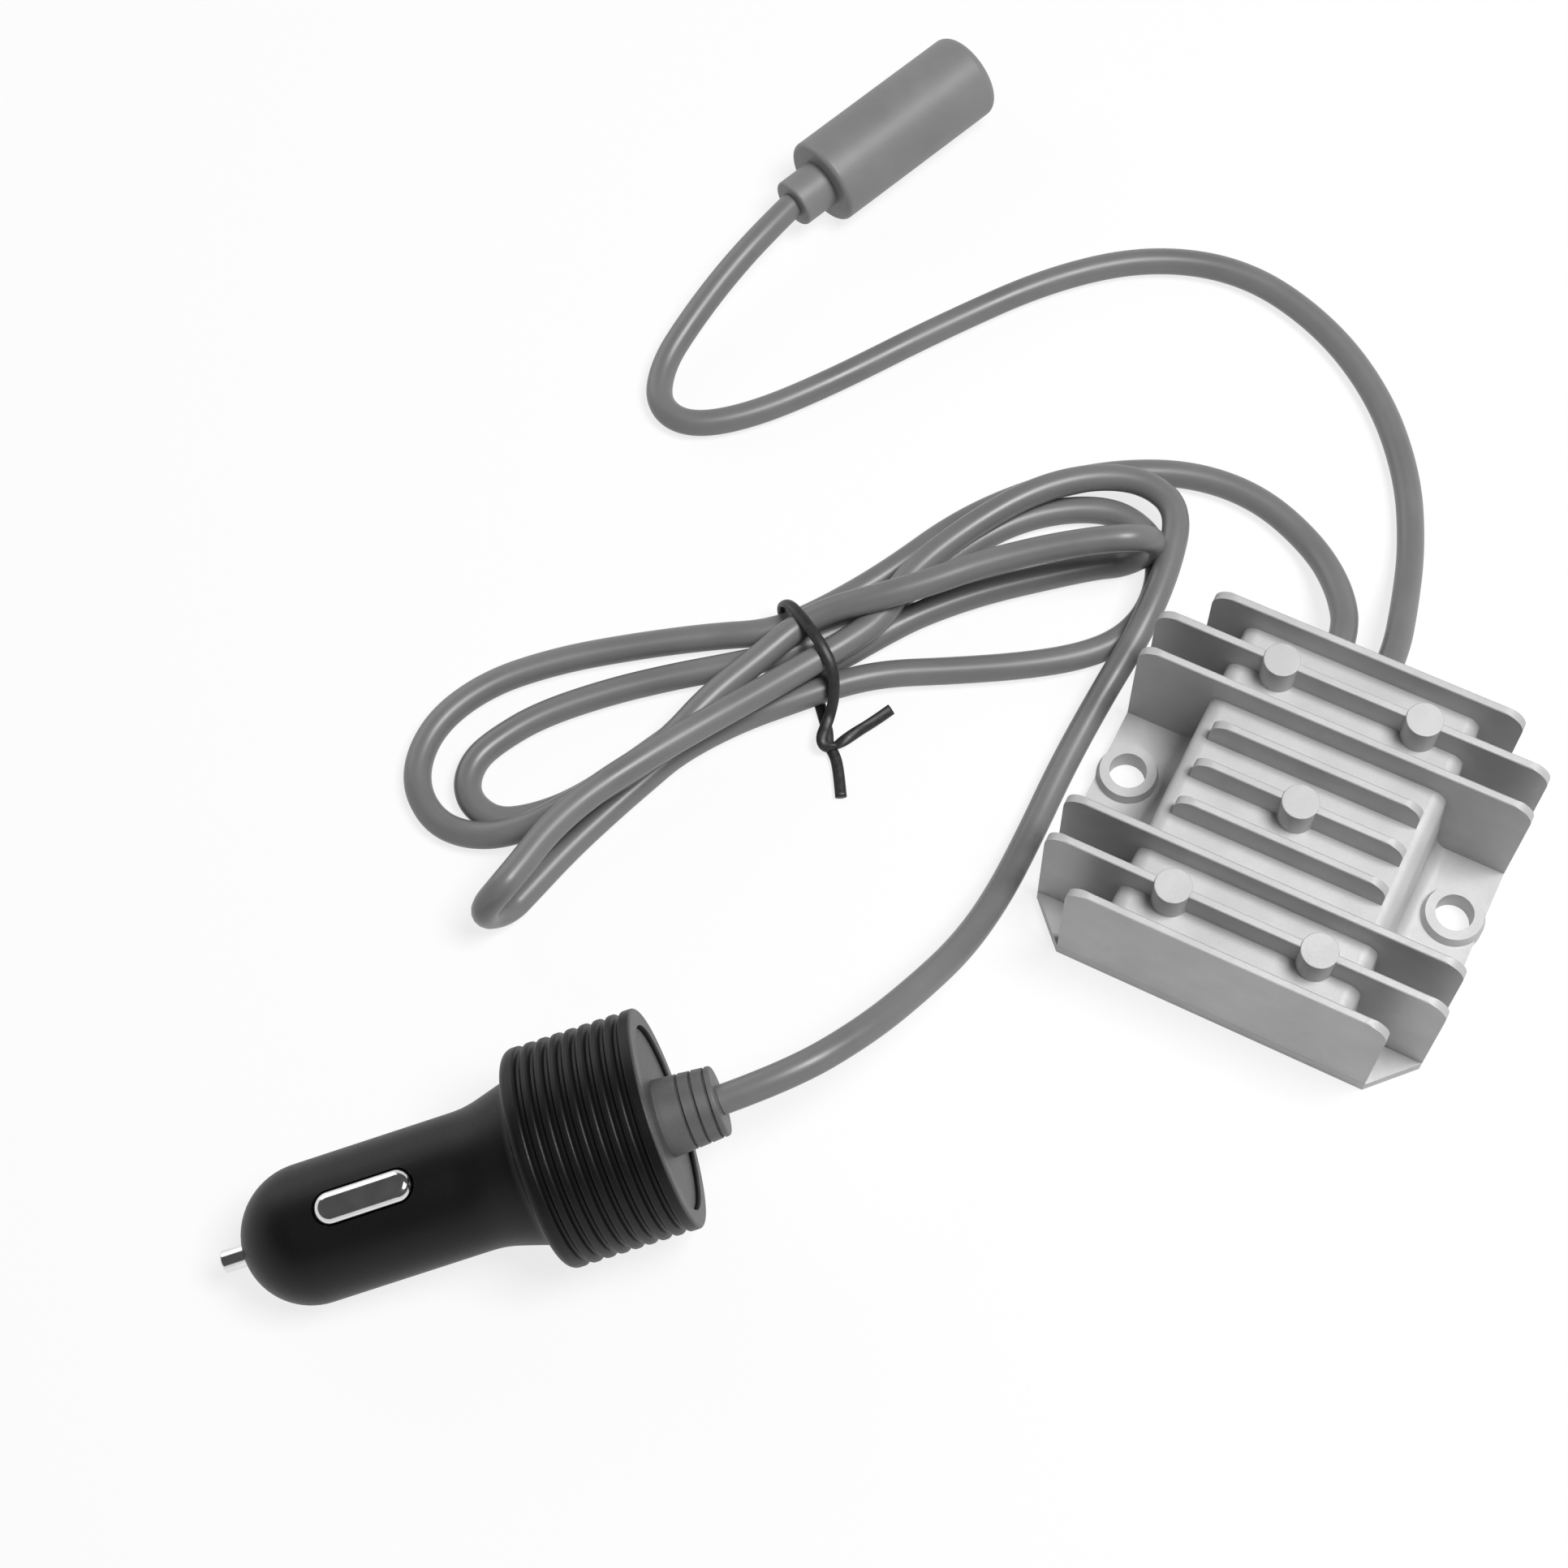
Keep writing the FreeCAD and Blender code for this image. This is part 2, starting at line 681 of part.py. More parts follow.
def plug_strain_relief():
    """Grooved tapered sleeve on the cord, held by a flange behind the end cap."""
    base = strain_base_diameter / 2
    end = strain_end_diameter / 2
    bore = core_wire_diameter / 2 + cord_clearance
    flange_back = cap_back + strain_flange_thickness
    profile = [(bore, flange_back), (bore, -strain_length), (end, -strain_length, strain_edge_radius)]
    half = strain_groove_width / 2
    for index in range(strain_groove_count):
        reach = (index + 0.5) * strain_groove_pitch
        middle = reach - strain_length
        wall = end + (base - end) * reach / strain_length
        profile.append((wall, middle - half))
        profile.append((wall - strain_groove_depth, middle - half))
        profile.append((wall - strain_groove_depth, middle + half))
        profile.append((wall, middle + half))
    profile.append((base, 0))
    profile.append((base, cap_back))
    profile.append((strain_flange_diameter / 2, cap_back))
    profile.append((strain_flange_diameter / 2, flange_back))
    return turned(profile)


def tip_contact():
    """Turned pin with a round end and a flange that stops it inside the nose."""
    radius = tip_diameter / 2
    end = plug_nose_reach + tip_protrusion
    return turned([
        (0, tip_back), (tip_flange_diameter / 2, tip_back), (tip_flange_diameter / 2, chamber_front),
        (radius, chamber_front), (radius, end, tip_end_radius), (0, end),
    ])


def fuse():
    """Glass tube fuse with its two caps, sealed as one piece."""
    radius = fuse_diameter / 2
    waist = radius - fuse_cap_step
    low = fuse_back + fuse_cap_length
    high = tip_back - fuse_cap_length
    return turned([
        (0, fuse_back), (radius, fuse_back, fuse_edge_radius), (radius, low), (waist, low), (waist, high),
        (radius, high), (radius, tip_back, fuse_edge_radius), (0, tip_back),
    ])


def fuse_terminal():
    """Brass cup floor that the tip spring stands on."""
    low = collar_cavity_front
    high = low + fuse_terminal_thickness
    edge = chamber_radius - seat_clearance
    return turned([(0, low), (edge, low), (edge, high), (0, high)])


def tip_spring():
    """Coil spring between the terminal and the fuse, ground flat at both ends."""
    low = collar_cavity_front + fuse_terminal_thickness
    height = fuse_back - low
    middle = (tip_spring_diameter - tip_spring_wire) / 2
    pitch = (height + tip_spring_wire) / tip_spring_turns
    helix = Part.makeHelix(pitch, pitch * tip_spring_turns, middle)
    circle = Part.Circle(Vector(middle, 0, 0), Vector(0, 1, 0), tip_spring_wire / 2)
    section = Part.Wire(circle.toShape())
    coil = Part.Wire(helix.Edges).makePipeShell([section], True, True)
    coil = coil.translated(Vector(0, 0, low - tip_spring_wire / 2))
    return coil.common(block(2 * tip_spring_diameter, 2 * tip_spring_diameter, low, fuse_back))


def side_contact():
    """Pill-shaped button with a crowned face and a flange that keeps it in the shell."""
    face = plug_body_radius + contact_protrusion
    button = pill(contact_length, contact_width, contact_flange_top - contact_flange_thickness, face)
    crown_edges = [edge for edge in button.Edges if edge.BoundBox.YMin > face - contact_crown]
    button = button.makeFillet(contact_crown, crown_edges)
    flange_low = contact_flange_top - contact_clearance - contact_flange_thickness
    flange = block(
        contact_width + 2 * contact_flange_margin, contact_flange_thickness,
        contact_middle - contact_length / 2 - contact_flange_margin,
        contact_middle + contact_length / 2 + contact_flange_margin,
        0, flange_low + contact_flange_thickness / 2,
    )
    return button.fuse(flange).removeSplitter()


def side_spring():
    """Bent strip: an arch under the contact and a straight tail back to the collar."""
    half = side_spring_length / 2
    low = pocket_floor + seat_clearance
    crown = contact_flange_top - contact_clearance - contact_flange_thickness - seat_clearance
    thick = side_spring_thickness
    z = contact_middle
    tail = collar_cavity_front - side_spring_tail

    def arch(drop):
        return Part.Arc(Vector(0, low + thick - drop, z - half), Vector(0, crown - drop, z),
                        Vector(0, low + thick - drop, z + half)).toShape()

    outer = arch(0)
    inner = arch(thick)
    ends = [
        (Vector(0, low + thick, z + half), Vector(0, low, z + half)),
        (Vector(0, low, z - half), Vector(0, low, tail)),
        (Vector(0, low, tail), Vector(0, low + thick, tail)),
        (Vector(0, low + thick, tail), Vector(0, low + thick, z - half)),
    ]
    lines = [Part.LineSegment(a, b).toShape() for a, b in ends]
    wire = Part.Wire(Part.__sortEdges__([outer, inner] + lines))
    strip = Part.Face(wire).extrude(Vector(side_spring_width, 0, 0))
    return strip.translated(Vector(-side_spring_width / 2, 0, 0))


def core_wires():
    """Cores of the lead inside the collar: one on the axis to the fuse, one to each side spring."""
    start = cap_back + strain_flange_thickness
    radius = core_wire_diameter / 2
    live = rod(radius, collar_cavity_front - start, Vector(0, 0, start), Vector(0, 0, 1))
    low = Vector(0, core_wire_offset, start)
    high = Vector(0, pocket_floor - radius, collar_cavity_front - side_spring_tail / 2)
    ground = rod(radius, (high - low).Length, low, high - low)
    floor = block(2 * strain_flange_diameter, 2 * strain_flange_diameter, start, collar_cavity_front)
    return live, Part.makeCompound(list(both_sides(ground.common(floor))))


def socket_place():
    """Frame of the output socket: its own Z runs from the neck's end to the mouth."""
    heading = math.radians(socket_heading)
    ahead = Vector(math.cos(heading), math.sin(heading), 0)
    turn = Rotation(Vector(0, 0, 1).cross(ahead) * -1, Vector(0, 0, 1), ahead, "ZYX")
    return Placement(Vector(socket_place_x, socket_place_y, socket_radius), turn)


def socket_pieces():
    """Moulded body with its neck, insulator cup, sleeve contact and centre pin."""
    neck = socket_neck_diameter / 2
    mouth = insulator_mouth
    cup = insulator_diameter / 2
    cup_floor = mouth - insulator_length
    sleeve = sleeve_outer_diameter / 2
    seat = cup + seat_clearance
    body = turned([
        (0, 0), (neck, 0, socket_neck_edge_radius), (neck, socket_neck_length),
        (socket_radius, socket_neck_length, socket_shoulder_radius),
        (socket_radius, mouth, socket_mouth_radius),
        (seat, mouth), (seat, cup_floor), (0, cup_floor),
    ])
    bore = centre_pin_diameter / 2 + seat_clearance
    insulator = turned([
        (bore, cup_floor), (cup, cup_floor), (cup, mouth), (sleeve + seat_clearance, mouth),
        (sleeve + seat_clearance, cup_floor + insulator_floor), (bore, cup_floor + insulator_floor),
    ])
    sleeve_low = cup_floor + insulator_floor
    sleeve_top = sleeve_low + sleeve_length
    sleeve_bore = sleeve_inner_diameter / 2
    contact = turned([
        (sleeve_bore, sleeve_low), (sleeve, sleeve_low), (sleeve, sleeve_top), (sleeve_bore, sleeve_top),
    ])
    pin_top = mouth - centre_pin_recess
    pin_radius = centre_pin_diameter / 2
    pin = turned([
        (0, cup_floor), (pin_radius, cup_floor), (pin_radius, pin_top, centre_pin_end_radius), (0, pin_top),
    ])
    return {
        "socket_body": body, "socket_insulator": insulator,
        "socket_sleeve": contact, "socket_centre_pin": pin,
    }


def plug_pieces():
    """Every piece of the lighter plug in the plug's own frame."""
    upper_contact, lower_contact = both_sides(side_contact())
    upper_spring, lower_spring = both_sides(side_spring())
    live, ground = core_wires()
    return {
        "plug_shell": plug_shell(), "plug_end_cap": plug_end_cap(),
        "plug_strain_relief": plug_strain_relief(), "tip_contact": tip_contact(), "fuse": fuse(),
        "tip_spring": tip_spring(), "fuse_terminal": fuse_terminal(),
        "side_contact_upper": upper_contact, "side_contact_lower": lower_contact,
        "side_spring_upper": upper_spring, "side_spring_lower": lower_spring,
        "live_wire": live, "ground_wires": ground,
    }


def build():
    """All pieces of the object by node name, each in its place."""
    nodes = {"heatsink_housing": heatsink_housing()}
    nodes["input_grommet"] = grommet(-1)
    nodes["output_grommet"] = grommet(1)
    plug_end = -strain_length
    plug_ends = [plug_place().multVec(Vector(0, 0, z)) for z in (plug_end - plug_approach, plug_end)]
    socket_ends = [socket_place().multVec(Vector(0, 0, z)) for z in (-socket_approach, 0)]
    nodes["twist_tie"] = twist_tie()
    nodes["lead_hank"] = lead_hank(nodes["twist_tie"])
    nodes["input_lead"] = tube(input_route).cut(nodes["lead_hank"])
    nodes["plug_lead"] = tube(plug_route + plug_ends).cut(nodes["lead_hank"])
    nodes["output_lead"] = tube(output_route + socket_ends)
    inside = board_parts()
    nodes.update(inside)
    bedded = [nodes["input_lead"], nodes["output_lead"]]
    bedded += [shape for name, shape in inside.items() if name not in ("ring_core", "inductor_winding")]
    nodes["potting_compound"] = potting_compound(bedded)
    for name, shape in plug_pieces().items():
        shape.Placement = plug_place().multiply(shape.Placement)
        nodes[name] = shape
    for name, shape in socket_pieces().items():
        shape.Placement = socket_place().multiply(shape.Placement)
        nodes[name] = shape
    return nodes


os.makedirs("parts", exist_ok=True)
for name, shape in build().items():
    shape.exportStep(f"parts/{name}.step")
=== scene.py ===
"""Step-up converter cable: finishes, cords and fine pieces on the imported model."""
import json
import math

import bpy
import numpy as np
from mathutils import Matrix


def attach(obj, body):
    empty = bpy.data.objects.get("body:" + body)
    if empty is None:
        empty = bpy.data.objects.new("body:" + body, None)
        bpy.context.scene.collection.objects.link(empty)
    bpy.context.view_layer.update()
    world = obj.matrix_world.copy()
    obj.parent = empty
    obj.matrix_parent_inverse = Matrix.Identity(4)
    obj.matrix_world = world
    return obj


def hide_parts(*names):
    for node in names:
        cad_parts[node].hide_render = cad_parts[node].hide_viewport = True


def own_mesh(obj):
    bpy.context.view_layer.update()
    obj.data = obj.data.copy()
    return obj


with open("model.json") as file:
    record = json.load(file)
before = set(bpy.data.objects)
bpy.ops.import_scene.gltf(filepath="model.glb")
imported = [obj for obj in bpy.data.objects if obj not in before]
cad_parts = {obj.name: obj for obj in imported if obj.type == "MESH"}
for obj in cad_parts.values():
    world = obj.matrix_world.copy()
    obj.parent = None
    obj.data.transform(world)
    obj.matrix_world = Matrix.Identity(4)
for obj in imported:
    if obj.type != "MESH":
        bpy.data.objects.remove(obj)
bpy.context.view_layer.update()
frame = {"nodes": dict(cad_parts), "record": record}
nodes = frame["nodes"]
mm = 0.001

# Camera and light
camera_place = (0.01714, -0.17439, 0.40184)
camera_turn = (23.956, 2.087, 26.869)
camera_lens = 62.73
camera_nearest = 0.01
sensor_width = 36.0
light_aim = (-0.05, 0.0, 0.0)
key_place = (0.26, 0.07, 0.84)
key_size = 0.35
key_power = 8.9
side_place = (-0.587, 0.142, 0.248)
side_size = 0.40
side_power = 0.75
sky_level = 0.09
floor_reach = 2.5
backdrop_reach = 2.4
backdrop_height = 1.0
backdrop_sides = 96
paper_white = (0.86, 0.86, 0.86, 1)
paper_roughness = 0.9
paper_glow = 0.80

# Noise values between which a finish goes from its dark or smooth end to its light or rough end
noise_low = 0.3
noise_high = 0.7
noise_roughness = 0.55

# Cords
cord_diameter = 4.5
cord_steps = 12
cord_roundness = 6
hank_middle = (-82.0, -1.0)
hank_heading = 50.8
input_start = [
    (-5, 25.5, 9), (-5, 37, 9), (-9.3, 46.6, 5.2), (-16.8, 54.3, 2.25), (-28.5, 58.9, 2.25),
    (-40.7, 58.2, 2.25), (-52.8, 52.4, 2.25),
]
# Turns of the hank in its own frame: along it, across it and up, from where it is tied
hank_turns = [
    # first left lobe on the floor, then back over the second
    (47, 13.4, 2.25), (33, 13.2, 2.25), (18, 9.3, 2.4), (5, 7, 3.4), (-4, 7, 3.4), (-13, 11, 2.5),
    (-26, 15, 2.25), (-38, 17.8, 2.25), (-50, 18.7, 2.25), (-60.5, 15.5, 2.25), (-66.8, 8.2, 2.25),
    (-66.8, -0.2, 2.25), (-62, -5.8, 2.4), (-54.5, -9.1, 4.8), (-45, -8.6, 5.7), (-36, -7.6, 6.2),
    (-27, -5.4, 6.7), (-18, -1, 7), (-8, 1.8, 7.4), (0, 4.5, 7.5),
    # right loop that stands on edge, out on its upper side and back on its lower
    (6, 4, 9.1), (13, 2, 10.9), (21, 0.6, 11.7), (30, -0.2, 12.3), (40.4, -2.5, 13.4), (48.4, -5.2, 14.5),
    (54, -7.5, 14.9), (57.8, -7.4, 11.2), (57.8, -6.7, 5.9), (54, -5.3, 2.25), (50, -3.9, 2.25),
    (43, -2.4, 2.25), (31, -0.2, 2.25), (20, 0.5, 2.25), (12, -0.4, 2.6), (3, -2, 3.4),
    # second left lobe on the floor, inside the first
    (-8, -2, 3.2), (-18, -1, 2.5), (-27, -3.2, 2.25), (-36, -5.4, 2.25), (-45, -7, 2.25),
    (-52, -6.6, 2.25), (-57.2, -4.9, 2.25), (-59.8, -0.7, 2.25), (-59.5, 3.3, 2.25), (-56.6, 6.8, 2.25),
    (-52, 8.5, 2.25), (-44, 9.8, 2.25), (-32, 8.9, 2.25), (-21, 6.8, 2.4), (-12, 4.4, 2.9),
    (-4, 2.5, 3.4), (4, 2.5, 3.4),
    # right lobe, on the floor
    (12, 3.8, 2.6), (20, 5.2, 2.25), (31, 8.4, 2.25), (41, 9.6, 2.25), (50, 8, 2.25), (57, 4.4, 2.25),
    (60, -0.6, 2.25), (60.2, -6, 2.25), (57.6, -11.2, 2.25), (53, -15.6, 2.25), (47, -17.9, 2.25),
    (40, -17.7, 2.25), (31, -15.3, 2.25), (20, -11.2, 2.25), (10, -7.3, 2.7), (2, -6, 3.3),
    # lower left loop that stands on edge
    (-6, -5.5, 3.2), (-13, -4.8, 2.6), (-20, -4.9, 2.25), (-27, -5.9, 2.25), (-33, -8, 2.25),
    (-39, -10.1, 2.25), (-48.5, -13.8, 2.25), (-57, -17.9, 2.25), (-61, -19.8, 2.25), (-64.7, -20.9, 5.9),
    (-64.7, -21.5, 11.2), (-61.2, -21.1, 14.9), (-57.4, -18.9, 14.7), (-50.8, -14.7, 14.1),
    (-42.7, -11.4, 13.2), (-32, -8.8, 12), (-22, -6.9, 11), (-12, -4.9, 9.2), (-3, -3, 7.8),
    # over the right lobe and out towards the plug
    (6, -1.6, 7.4), (13, 0.3, 6.9), (20, 5.8, 6.75), (33, 9.6, 6.75), (46, 11.3, 6.75), (56.5, 9.3, 6.75),
    (63.4, 4.6, 6.75), (65.6, -2.4, 6.75),
]
input_end = [
    (-36.2, 38, 6.75), (-35.5, 26, 6.2), (-36.9, 14.1, 3.2), (-37.5, 0, 2.25), (-37.1, -13, 2.4),
    (-36.8, -25.9, 5.2), (-37.5, -37.6, 10), (-40, -48.9, 15.5), (-43.4, -59.6, 20), (-49.6, -71.1, 22.9),
    (-57.3, -78.5, 21.1),
]
output_route = [
    (3, 25.5, 9), (3, 37, 9), (1, 48, 5.5), (-2.2, 60.9, 2.25), (-7.9, 73.4, 2.25), (-17.8, 85.7, 2.25),
    (-31.3, 94.9, 2.25), (-47.8, 99.4, 2.25), (-63.7, 95.2, 2.25), (-77.7, 83.8, 2.25), (-91, 66, 2.25),
    (-103, 48, 2.25), (-112.5, 36, 2.25), (-121, 29.8, 2.25), (-127.7, 31.2, 2.25), (-130.5, 38.6, 2.6),
    (-129.7, 47.6, 4.2), (-127.9, 57, 6.3), (-125.5, 66.7, 7.75), (-123.5, 74.7, 7.75),
]

# End face of the plug's collar, painted grey as a sheen that stands for the light its black rim catches
collar_face_place = (-63.2, -83.8, 19.775)
collar_face_way = (-0.73272, -0.65974, -0.16691)
collar_face_depth = (0.15, 0.45)
collar_face_painted_sheen = 0.075
plug_grey = 0.003

# Springs in the plug: the way up through the plug, given to the side springs
plug_upward = (-0.09473, -0.14399, 0.98503)

# Twist tie, in the hank's frame: tail, knot, over the bundle, under it, knot, tail
tie_width = 1.9
tie_thickness = 1.1
tie_sides = 20
tie_path = [
    (8.2, -13.3, 2.2), (5, -13.9, 1.8), (1.5, -14.3, 1.4), (-1.6, -14.9, 1.2), (-3.4, -15.4, 1.6),
    (-4.6, -14.6, 2.7), (-4.1, -13.2, 3.0), (-2.8, -11.9, 2.9), (-1.2, -10.3, 3.4), (0.3, -8.7, 5.8),
    (1.4, -5.8, 9.2), (1.2, -2.2, 10.8), (0.6, 2.6, 10.7), (0, 6.8, 9.8), (-0.6, 9.4, 7.5),
    (-0.7, 10.2, 3.6), (-0.5, 9.5, 0.8), (-0.6, 6, 0.6), (-1, 0, 0.6), (-1.5, -6, 0.6),
    (-2.1, -9.5, 0.7), (-2.6, -12.2, 1.0), (-3.5, -14.2, 0.9), (-3.2, -16.6, 0.8),
    (-4.1, -19.9, 0.8), (-5.4, -23.5, 0.9),
]


def place_hank(points):
    """Points of the hank's frame in the part's frame: turned by the heading, moved to the tied place."""
    points = np.array(points, dtype=float)
    turn = math.radians(hank_heading)
    along = np.array((math.cos(turn), math.sin(turn)))
    across = np.array((-along[1], along[0]))
    plan = np.array(hank_middle) + points[:, :1] * along + points[:, 1:2] * across
    return np.column_stack((plan, points[:, 2]))


def spline_curve(name, points):
    """Curve of one open spline of order three with these points, in millimetres, as its control points."""
    curve = bpy.data.curves.new(name, "CURVE")
    curve.dimensions = "3D"
    spline = curve.splines.new("NURBS")
    spline.points.add(len(points) - 1)
    spline.points.foreach_set("co", np.column_stack((np.array(points) * mm, np.ones(len(points)))).ravel())
    spline.order_u = 3
    spline.use_endpoint_u = True
    spline.resolution_u = cord_steps
    piece = bpy.data.objects.new(name, curve)
    bpy.context.collection.objects.link(piece)
    return piece


def spline_line(points):
    """Points along such a spline, in metres, as an array."""
    guide = spline_curve("guide", points)
    line = bpy.data.meshes.new_from_object(guide)
    places = np.empty(3 * len(line.vertices))
    line.vertices.foreach_get("co", places)
    bpy.data.objects.remove(guide)
    bpy.data.meshes.remove(line)
    return places.reshape(-1, 3)


def grid_surface(name, grid, cap_ends=True):
    """Mesh of a grid of points, rows by columns: each cell is a face, the columns close on themselves, and
    the first and last rows are filled where the ends are capped."""
    rows, columns = grid.shape[:2]
    index = np.arange(rows * columns).reshape(rows, columns)
    after = np.roll(index, -1, axis=1)
    cells = np.stack((index[:-1], after[:-1], after[1:], index[1:]), axis=-1).reshape(-1, 4)
    faces = cells.tolist()
    if cap_ends:
        faces += [index[0, ::-1].tolist(), index[-1].tolist()]
    mesh = bpy.data.meshes.new(name)
    mesh.from_pydata(grid.reshape(-1, 3).tolist(), [], faces)
    mesh.update()
    mesh.polygons.foreach_set("use_smooth", np.ones(len(mesh.polygons), dtype=bool))
    piece = bpy.data.objects.new(name, mesh)
    bpy.context.collection.objects.link(piece)
    return piece


def directions(line):
    """Unit direction of a line at each of its points, from its neighbours on both sides."""
    way = np.gradient(line, axis=0)
    return way / np.linalg.norm(way, axis=1, keepdims=True)


class Finish:
    """Node material with one shader, and the textures that drive it."""

    def __init__(self, name):
        self.material = bpy.data.materials.new(name)
        self.material.use_nodes = True
        self.tree = self.material.node_tree
        self.shader = self.tree.nodes["Principled BSDF"]
        self.coords = self.tree.nodes.new("ShaderNodeTexCoord").outputs["Object"]
        self.height = None

    def set(self, **values):
        """Constants on the shader's own sockets."""
        for name, value in values.items():
            socket = self.shader.inputs[name.replace("_", " ").title().replace("Ior", "IOR")]
            socket.default_value = value
        return self

    def link(self, source, target):
        """Wire from one socket to another."""
        self.tree.links.new(source, target)

    def noise(self, size, detail, stretch=(1, 1, 1)):
        """Noise whose features are about size millimetres, stretched along the axes."""
        mapping = self.tree.nodes.new("ShaderNodeMapping")
        mapping.inputs["Scale"].default_value = stretch
        self.link(self.coords, mapping.inputs["Vector"])
        texture = self.tree.nodes.new("ShaderNodeTexNoise")
        texture.inputs["Scale"].default_value = 1 / (size * mm)
        texture.inputs["Detail"].default_value = detail
        texture.inputs["Roughness"].default_value = noise_roughness
        self.link(mapping.outputs["Vector"], texture.inputs["Vector"])
        return texture.outputs["Fac"]

    def span(self, source, low, high):
        """Noise spread from low to high."""
        spread = self.tree.nodes.new("ShaderNodeMapRange")
        spread.inputs["From Min"].default_value = noise_low
        spread.inputs["From Max"].default_value = noise_high
        spread.inputs["To Min"].default_value = low
        spread.inputs["To Max"].default_value = high
        self.link(source, spread.inputs["Value"])
        return spread.outputs["Result"]

    def colour(self, source, dark, light):
        """Base colour from dark to light along the noise."""
        ramp = self.tree.nodes.new("ShaderNodeValToRGB")
        for element, place, tone in zip(ramp.color_ramp.elements, (noise_low, noise_high), (dark, light)):
            element.position = place
            element.color = (*tone, 1)
        self.link(source, ramp.inputs["Fac"])
        self.link(ramp.outputs["Color"], self.shader.inputs["Base Color"])
        return self

    def rough(self, source, low, high):
        """Roughness from low to high along the noise."""
        self.link(self.span(source, low, high), self.shader.inputs["Roughness"])
        return self

    def bump(self, source, depth, strength):
        """Relief of depth millimetres, on top of any relief before it."""
        bump = self.tree.nodes.new("ShaderNodeBump")
        bump.inputs["Strength"].default_value = strength
        bump.inputs["Distance"].default_value = depth * mm
        self.link(source, bump.inputs["Height"])
        if self.height:
            self.link(self.height, bump.inputs["Normal"])
        self.height = bump.outputs["Normal"]
        self.link(self.height, self.shader.inputs["Normal"])
        return self


def grey(level):
    """Neutral colour of one level."""
    return (level, level, level)


def cast_alloy():
    """As-cast light alloy: fine sandy grain, soft cloudy tone, dull sheen."""
    finish = Finish("cast_alloy").set(metallic=0.25)
    grain = finish.noise(0.35, 6)
    cloud = finish.noise(9, 3)
    return (finish.colour(cloud, grey(0.46), grey(0.53)).rough(grain, 0.50, 0.66)
            .bump(cloud, 0.10, 0.4).bump(grain, 0.035, 0.7).material)


def cord_jacket():
    """Smooth extruded jacket, satin, with faint rubbing marks."""
    finish = Finish("cord_jacket").set(specular_ior_level=0.5)
    skin = finish.noise(0.6, 3)
    rub = finish.noise(14, 4)
    return (finish.colour(rub, grey(0.150), grey(0.180)).rough(rub, 0.32, 0.42)
            .bump(skin, 0.008, 0.4).material)


def plug_moulding():
    """Matte black moulded plastic with a fine spark-eroded texture, and a painted sheen on the collar's end
    face: grey painted into the colour where the distance along the plug's axis from the rim is under half a
    millimetre, in place of the light that the rim catches."""
    finish = Finish("plug_moulding").set(specular_ior_level=0.27)
    skin = finish.noise(0.22, 3)
    cloud = finish.noise(8, 3)
    place = finish.tree.nodes.new("ShaderNodeVectorMath")
    place.operation = "SUBTRACT"
    place.inputs[1].default_value = [value * mm for value in collar_face_place]
    finish.link(finish.coords, place.inputs[0])
    along = finish.tree.nodes.new("ShaderNodeVectorMath")
    along.operation = "DOT_PRODUCT"
    along.inputs[1].default_value = collar_face_way
    finish.link(place.outputs["Vector"], along.inputs[0])
    # Painted sheen: grey at the collar's end face, fading to the plug's black within half a millimetre
    level = finish.tree.nodes.new("ShaderNodeMapRange")
    level.inputs["From Min"].default_value = collar_face_depth[0] * mm
    level.inputs["From Max"].default_value = collar_face_depth[1] * mm
    level.inputs["To Min"].default_value = collar_face_painted_sheen
    level.inputs["To Max"].default_value = plug_grey
    finish.link(along.outputs["Value"], level.inputs["Value"])
    clouded = finish.tree.nodes.new("ShaderNodeMath")
    clouded.operation = "MULTIPLY"
    finish.link(level.outputs["Result"], clouded.inputs[0])
    finish.link(finish.span(cloud, 0.75, 1.25), clouded.inputs[1])
    finish.link(clouded.outputs["Value"], finish.shader.inputs["Base Color"])
    return finish.rough(skin, 0.38, 0.50).bump(skin, 0.020, 0.6).material


def cap_moulding():
    """Satin dark grey moulded plastic."""
    finish = Finish("cap_moulding")
    skin = finish.noise(0.25, 3)
    cloud = finish.noise(6, 3)
    return (finish.colour(cloud, grey(0.046), grey(0.060)).rough(skin, 0.42, 0.55)
            .bump(skin, 0.015, 0.5).material)


def relief_moulding():
    """Satin soft moulding of the strain relief, darker than the cord, with a faint grain."""
    finish = Finish("relief_moulding")
    skin = finish.noise(0.3, 3)
    cloud = finish.noise(5, 3)
    return (finish.colour(cloud, grey(0.095), grey(0.120)).rough(skin, 0.42, 0.55)
            .bump(skin, 0.020, 0.5).material)


def connector_moulding():
    """Satin mid grey soft moulding."""
    finish = Finish("connector_moulding")
    skin = finish.noise(0.3, 3)
    cloud = finish.noise(10, 3)
    return (finish.colour(cloud, grey(0.185), grey(0.215)).rough(skin, 0.40, 0.52)
            .bump(skin, 0.015, 0.5).material)


def grommet_rubber():
    """Matte dark rubber."""
    finish = Finish("grommet_rubber")
    skin = finish.noise(0.4, 4)
    return (finish.colour(skin, grey(0.07), grey(0.10)).rough(skin, 0.60, 0.75)
            .bump(skin, 0.02, 0.5).material)


def tie_coating():
    """Black satin coating of a wire tie."""
    finish = Finish("tie_coating")
    skin = finish.noise(0.8, 3)
    return (finish.colour(skin, grey(0.014), grey(0.024)).rough(skin, 0.38, 0.52)
            .bump(skin, 0.03, 0.5).material)


def bright_plating():
    """Polished nickel plate with fine turning marks."""
    finish = Finish("bright_plating").set(metallic=1.0)
    marks = finish.noise(0.15, 2, (1, 1, 6))
    cloud = finish.noise(3, 3)
    return (finish.colour(cloud, grey(0.70), grey(0.80)).rough(cloud, 0.08, 0.16)
            .bump(marks, 0.004, 0.4).material)


